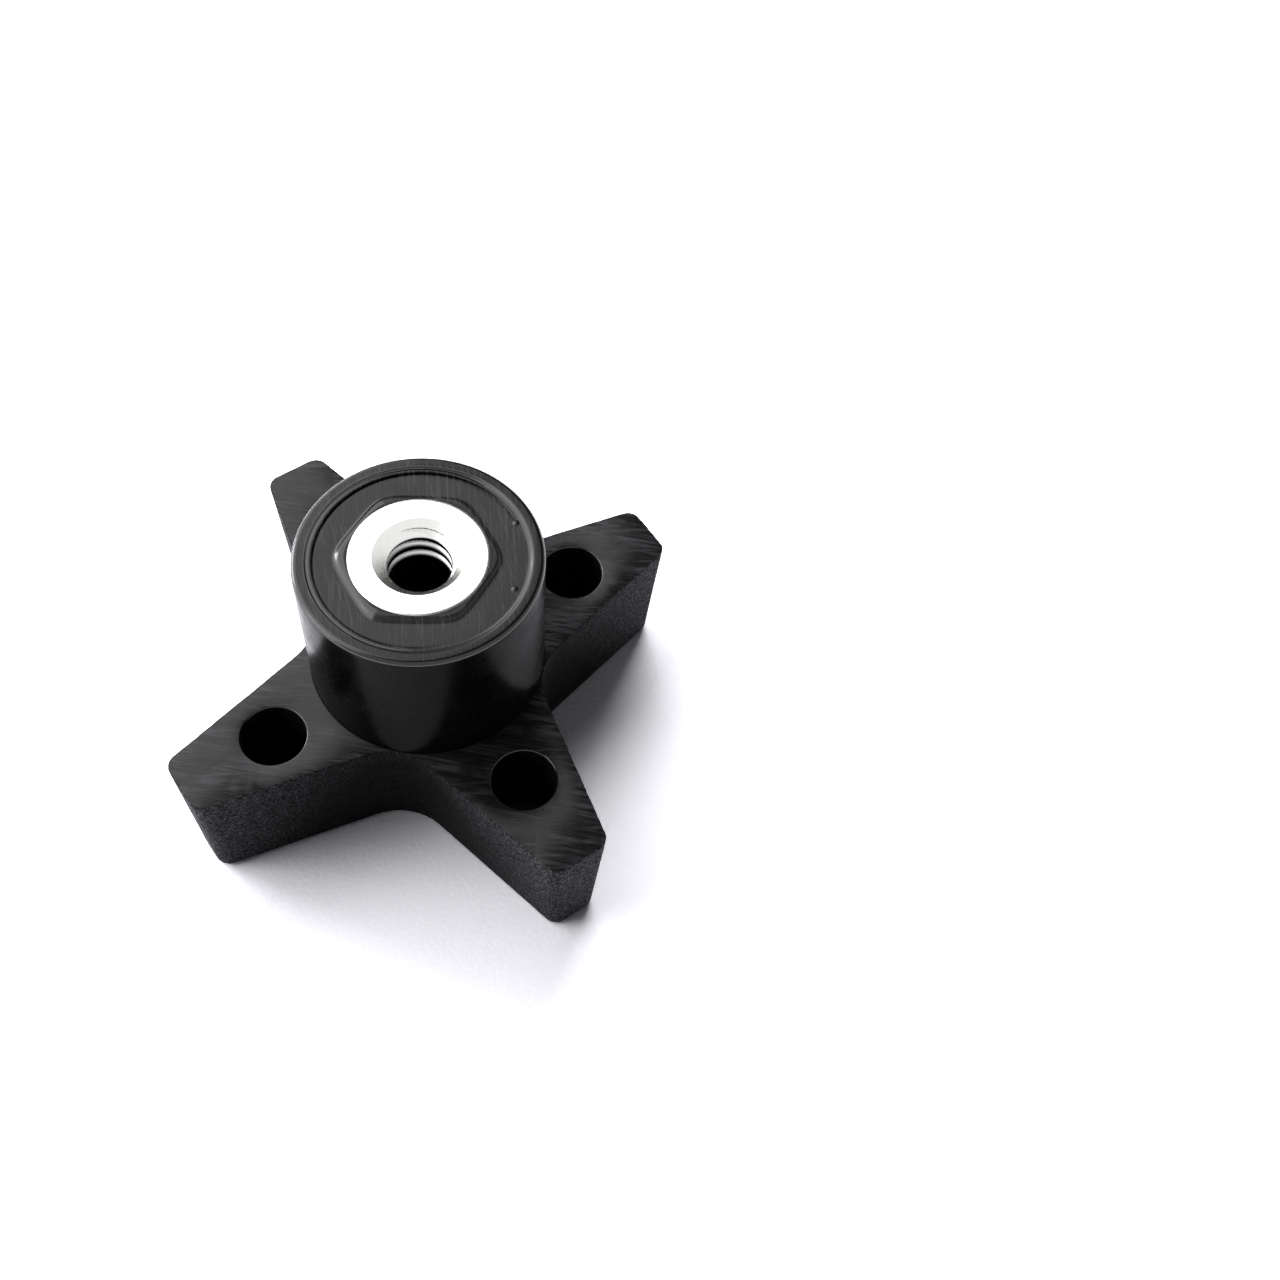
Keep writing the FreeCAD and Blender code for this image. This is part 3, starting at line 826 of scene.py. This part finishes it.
def scratched_plastic(name, finish, turn, length, width):
    """The same polyamide, sanded or faced: a dark grey with long, nearly parallel scratches, which
    are lighter and duller than the plastic between them and come and go in patches."""
    material, tree, shader, place = new_material(name)
    main = streaks_of(tree, place, turn, length, width, 0.0)
    crossing = streaks_of(tree, place, turn + math.radians(14), 0.9 * length, 0.8 * width, 40.0)
    fine = streaks_of(tree, place, turn - math.radians(6), 1.2 * length, 0.5 * width, 80.0)
    patches = add_node(tree, NOISE, {
        "Vector": place, "Scale": 1 / (2.6 * MM), "Detail": 2.0, "Roughness": 0.55})
    main = add_node(tree, MAP_RANGE, {0: main, 1: 0.48, 2: 0.7})
    crossing = add_node(tree, MAP_RANGE, {0: crossing, 1: 0.55, 2: 0.72})
    fine = add_node(tree, MAP_RANGE, {0: fine, 1: 0.5, 2: 0.72})
    strength = add_node(tree, MAP_RANGE, {0: patches, 1: 0.38, 2: 0.62, 3: 0.15, 4: 1.0})
    crossed = add_node(tree, MATH, {0: main, 1: crossing}, operation="ADD")
    scratches = add_node(tree, MATH, {0: fine, 1: 0.4, 2: crossed}, operation="MULTIPLY_ADD")
    marks = add_node(tree, MATH, {0: scratches, 1: strength}, operation="MULTIPLY")
    colour = add_node(tree, MIX, {
        0: marks, 6: linear(finish.sanded), 7: linear(finish.scratch)}, data_type="RGBA")
    roughness = add_node(tree, MAP_RANGE, {0: marks, 3: 0.26, 4: 0.4})
    bump = add_node(tree, BUMP, {"Height": scratches, "Distance": 0.004 * MM, "Strength": 0.6})
    set_inputs(tree, shader, {
        "Base Color": colour.outputs[2], "Roughness": roughness, "Normal": bump,
        "Specular IOR Level": 0.3})
    return material


def smooth_plastic(name, dark, light, wave, detail, least, greatest, gloss):
    """The same polyamide moulded against smooth steel: black with faint waves of a given size,
    satin on the hub's wall, bright on polished edges and dull in the holes and the recess."""
    material, tree, shader, place = new_material(name)
    waves = add_node(tree, NOISE, {
        "Vector": place, "Scale": 1 / wave, "Detail": detail, "Roughness": 0.55})
    colour = add_node(tree, MIX, {0: waves, 6: linear(dark), 7: linear(light)}, data_type="RGBA")
    roughness = add_node(tree, MAP_RANGE, {0: waves, 1: 0.3, 2: 0.7, 3: least, 4: greatest})
    set_inputs(tree, shader, {
        "Base Color": colour.outputs[2], "Roughness": roughness, "Specular IOR Level": gloss})
    return material


def plated_steel(finish, hub, nut):
    """Zinc-plated steel, turned on its face: nearly white in the light, with fine rings. The crests of
    the thread are painted dark, a painted shade, from just below the countersink down. The rings
    are too fine to show, so they are drawn coarser, about 0.12 mm apart."""
    material, tree, shader, place = new_material("zinc_plated_turned_steel")
    parts = add_node(tree, "ShaderNodeSeparateXYZ", {0: place}).outputs
    flat = add_node(tree, "ShaderNodeCombineXYZ", {"X": parts["X"], "Y": parts["Y"]})
    radius = add_node(tree, VECTOR_MATH, {0: flat}, operation="LENGTH").outputs["Value"]
    rings = add_node(tree, "ShaderNodeCombineXYZ", {"X": radius})
    turning = add_node(tree, NOISE, {
        "Vector": rings, "Scale": 1 / (0.12 * MM), "Detail": 3.0, "Roughness": 0.7})
    smear = add_node(tree, NOISE, {
        "Vector": place, "Scale": 1 / (0.8 * MM), "Detail": 4.0, "Roughness": 0.55})
    # Painted shade: the crests of the thread, from just below the countersink down, are painted the
    # darker grey
    crest_radius = nut.minor_diameter / 2
    crest = add_node(tree, MAP_RANGE, {
        0: radius, 1: crest_radius + 0.04 * MM, 2: crest_radius + 0.2 * MM, 3: 1.0, 4: 0.0})
    depth = add_node(tree, MATH, {0: hub.height, 1: parts["Z"]}, operation="SUBTRACT")
    countersink = (nut.entry - nut.minor_diameter) / 2
    threaded = add_node(tree, MAP_RANGE, {
        0: depth, 1: countersink - 0.1 * MM, 2: countersink + 0.15 * MM})
    crest_shade = add_node(tree, MATH, {0: crest, 1: threaded}, operation="MULTIPLY")
    colour = add_node(tree, MIX, {
        0: crest_shade, 6: linear(finish.steel), 7: linear(finish.steel_crest_shade)}, data_type="RGBA")
    roughness = add_node(tree, MAP_RANGE, {0: smear, 1: 0.3, 2: 0.7, 3: 0.26, 4: 0.29})
    bump = add_node(tree, BUMP, {"Height": turning, "Distance": 0.002 * MM, "Strength": 0.4})
    set_inputs(tree, shader, {
        "Base Color": colour.outputs[2], "Roughness": roughness, "Normal": bump, "Metallic": 1.0})
    return material


# Operators for the two pieces


class KNOB_OT_moulding(Operator):
    """Build the plastic moulding: four arms, the hub, and the recess in the front face"""

    bl_idname = "knob.moulding"
    bl_label = "Moulding"

    def execute(self, context):
        scene = context.scene
        arms, hub, nut, finish = scene.knob_arms, scene.knob_hub, scene.knob_nut, scene.knob_finish
        black = finish.plastic
        grained = grained_plastic(finish)
        star = apply_tree(make_arm(arms, hub), star_tree(), {
            "Arms": ARM_COUNT, "Weld distance": WELD, "Wear depth": arms.wear_depth,
            "Wear length": arms.wear_length, "Wear seed": float(arms.wear_seed), "Sides": grained})
        moulding = join_meshes("star_moulding", [star, make_hub(arms, hub, nut)])
        materials = [
            grained,
            scratched_plastic("sanded_black_polyamide", finish, *REAR_SCRATCHES),
            scratched_plastic("faced_black_polyamide", finish, *END_SCRATCHES),
            smooth_plastic("satin_black_polyamide", black, finish.satin, *SATIN_LOOK),
            smooth_plastic("cored_black_polyamide", black, finish.cored, *CORED_LOOK),
            smooth_plastic("polished_black_polyamide", black, finish.satin, *POLISHED_LOOK),
        ]
        show_piece("star_moulding", moulding, materials, "knob_body")
        return {"FINISHED"}


class KNOB_OT_nut(Operator):
    """Build the steel nut and cut its thread"""

    bl_idname = "knob.nut"
    bl_label = "Nut"

    def execute(self, context):
        scene = context.scene
        hub, nut = scene.knob_hub, scene.knob_nut
        steel = plated_steel(scene.knob_finish, hub, nut)
        threaded = apply_tree(make_nut_blank(hub, nut), thread_tree(), {
            "Pitch": nut.pitch, "Phase": nut.thread_phase, "Minor radius": nut.minor_diameter / 2,
            "Major radius": nut.major_diameter / 2, "Top": hub.height,
            "Bottom": hub.height - nut.height, "Entry radius": nut.entry / 2,
            "Far radius": nut.leaving / 2, "Weld distance": WELD, "Material": steel})
        show_piece("threaded_nut", threaded, [steel], "threaded_insert")
        return {"FINISHED"}


# Stage

# Camera, found by fitting the knob's own edges to the photograph, in metres
CAMERA_PLACE = Vector((-33.828, -66.65, 133.684)) * MM
CAMERA_RIGHT = Vector((0.81179, -0.58091, 0.05954))
CAMERA_UP = Vector((0.4674, 0.7075, 0.53008))
NEAREST_SEEN = 5 * MM

# Lamps: direction from the knob, distance, width and height in metres, and whether gloss shows them
LAMPS = {
    "window_lamp": ((-0.26, 0.66, 0.71), 0.9, 1.3, 1.0, True),
    "back_lamp": ((0.50, 0.55, 0.67), 0.9, 0.5, 0.5, False),
    "low_lamp": ((-0.40, 0.87, 0.29), 0.9, 0.35, 0.3, True),
    "side_lamp": ((-0.85, 0.35, 0.45), 0.8, 0.4, 0.4, True),
}

# Direction of the dark corner of the ceiling, and the cosines of the angles from it at which the
# dark begins and is full
DARK_CORNER = (0.37, 0.44, 0.82)
DARK_BEGINS = 0.5
DARK_FULL = 0.85

# Distance from the knob, in metres, from which the floor is shown whiter and whiter
WHITER_FROM = 0.2


def add_lamp(name, power, towards, distance, width, height, glossy):
    """Hang a rectangular lamp in a direction from the knob and aim it at the knob."""
    data = bpy.data.lights.new(name, "AREA")
    data.shape = "RECTANGLE"
    data.size = width
    data.size_y = height
    data.energy = power
    lamp = add_object(name, data)
    direction = Vector(towards).normalized()
    lamp.location = direction * distance
    lamp.rotation_euler = direction.to_track_quat("Z", "Y").to_euler()
    lamp.visible_glossy = glossy


def seen_rays(tree, direct=1.0):
    """Return a node that gives 1 for the rays that show a surface in a mirror or through glass, the
    given number for those that show it directly, and 0 for the others."""
    path = add_node(tree, "ShaderNodeLightPath").outputs
    mirrored = add_node(tree, MATH, {
        0: path["Is Glossy Ray"], 1: path["Is Transmission Ray"]}, operation="MAXIMUM")
    return add_node(tree, MATH, {
        0: path["Is Camera Ray"], 1: direct, 2: mirrored}, operation="MULTIPLY_ADD")


def floor_material(stage):
    """White laminate with a pebbled grain: it shows white in full light and keeps the knob's soft
    shadow. The rays that show it find it whiter than those that carry its light to the knob."""
    material, tree, shader, place = new_material("white_laminate")
    grain = add_node(tree, NOISE, {
        "Vector": place, "Scale": 1 / (0.45 * MM), "Detail": 2.0, "Roughness": 0.55})
    pebbles = add_node(tree, MAP_RANGE, {0: grain, 1: 0.4, 2: 0.7})
    colour = add_node(tree, MIX, {
        0: pebbles, 6: linear(stage.floor), 7: linear(stage.floor_grain)}, data_type="RGBA")
    bump = add_node(tree, BUMP, {"Height": grain, "Distance": 0.05 * MM, "Strength": 0.6})
    reach = add_node(tree, VECTOR_MATH, {0: place}, operation="LENGTH").outputs["Value"]
    whiteness = add_node(tree, MAP_RANGE, {
        0: reach, 1: WHITER_FROM, 2: stage.floor_size / 2, 3: stage.whiteness,
        4: stage.far_whiteness})
    gain = add_node(tree, MATH, {0: seen_rays(tree), 1: whiteness, 2: 1.0}, operation="MULTIPLY_ADD")
    whitened = add_node(tree, VECTOR_MATH, {0: colour.outputs[2], "Scale": gain}, operation="SCALE")
    set_inputs(tree, shader, {
        "Base Color": whitened, "Normal": bump, "Roughness": 0.8, "Specular IOR Level": 0.1})
    return material


def lay_floor(stage):
    """Lay a square floor under the knob."""
    half = stage.floor_size / 2
    mesh = bpy.data.meshes.new("floor")
    corners = [(-half, -half, 0), (half, -half, 0), (half, half, 0), (-half, half, 0)]
    mesh.from_pydata(corners, [], [(0, 1, 2, 3)])
    mesh.materials.append(floor_material(stage))
    floor = add_object("floor", mesh)


def white_room(stage):
    """Return a world of white walls, with a dark corner in the ceiling that only reflections show."""
    world = bpy.data.worlds.new("studio")
    world.use_nodes = True
    tree = world.node_tree
    direction = add_node(tree, "ShaderNodeTexCoord").outputs["Generated"]
    towards_corner = add_node(tree, VECTOR_MATH, {
        0: direction, 1: DARK_CORNER}, operation="DOT_PRODUCT")
    mirrored = add_node(tree, MAP_RANGE, {
        0: towards_corner.outputs["Value"], 1: DARK_BEGINS, 2: DARK_FULL,
        3: stage.backdrop, 4: stage.ceiling})
    unseen = add_node(tree, MAP_RANGE, {0: seen_rays(tree, direct=0.0), 3: stage.ambient, 4: mirrored})
    direct = add_node(tree, "ShaderNodeLightPath").outputs["Is Camera Ray"]
    strength = add_node(tree, MAP_RANGE, {0: direct, 3: unseen, 4: stage.backdrop})
    set_inputs(tree, tree.nodes["Background"], {"Color": linear("#ffffff"), "Strength": strength})
    return world


def place_camera(stage):
    """Return a camera that stands where the photograph was taken from."""
    data = bpy.data.cameras.new("camera")
    data.lens = stage.lens
    data.sensor_width = 36.0
    data.clip_start = NEAREST_SEEN
    camera = add_object("camera", data)
    back = CAMERA_RIGHT.cross(CAMERA_UP)
    turn = Matrix((CAMERA_RIGHT, CAMERA_UP, back)).transposed()
    camera.matrix_world = Matrix.Translation(CAMERA_PLACE) @ turn.to_4x4()
    return camera


class KNOB_OT_stage(Operator):
    """Lay the floor, hang the lamps and place the camera"""

    bl_idname = "knob.stage"
    bl_label = "Stage"

    def execute(self, context):
        scene = context.scene
        stage = scene.knob_stage
        lay_floor(stage)
        powers = (stage.key, stage.back, stage.low, stage.side)
        for (name, facts), power in zip(LAMPS.items(), powers):
            add_lamp(name, power, *facts)
        scene.world = white_room(stage)
        scene.camera = place_camera(stage)
        scene.view_settings.view_transform = "Standard"
        return {"FINISHED"}


class KNOB_PT_panel(Panel):
    """Lists the steps that build the knob"""

    bl_idname = "KNOB_PT_panel"
    bl_label = "Star Knob"
    bl_space_type = "VIEW_3D"
    bl_region_type = "UI"
    bl_category = "Star Knob"

    def draw(self, context):
        for step in STEPS:
            self.layout.operator(step.bl_idname)


GROUPS = {"knob_arms": KnobArmSizes, "knob_hub": KnobHubSizes, "knob_nut": KnobNutSizes,
          "knob_finish": KnobFinish, "knob_stage": KnobStage}
STEPS = (KNOB_OT_moulding, KNOB_OT_nut, KNOB_OT_stage)


def register():
    """Register the groups, operators and panel."""
    for name, group in GROUPS.items():
        bpy.utils.register_class(group)
        setattr(bpy.types.Scene, name, PointerProperty(type=group))
    for step in (*STEPS, KNOB_PT_panel):
        bpy.utils.register_class(step)


def unregister():
    """Take them out again, last first."""
    for step in reversed((*STEPS, KNOB_PT_panel)):
        bpy.utils.unregister_class(step)
    for name, group in reversed(GROUPS.items()):
        delattr(bpy.types.Scene, name)
        bpy.utils.unregister_class(group)


def main():
    """Build the knob and its stage."""
    register()
    bpy.ops.knob.moulding()
    bpy.ops.knob.nut()
    bpy.ops.knob.stage()
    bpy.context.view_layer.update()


if __name__ == "__main__":
    main()
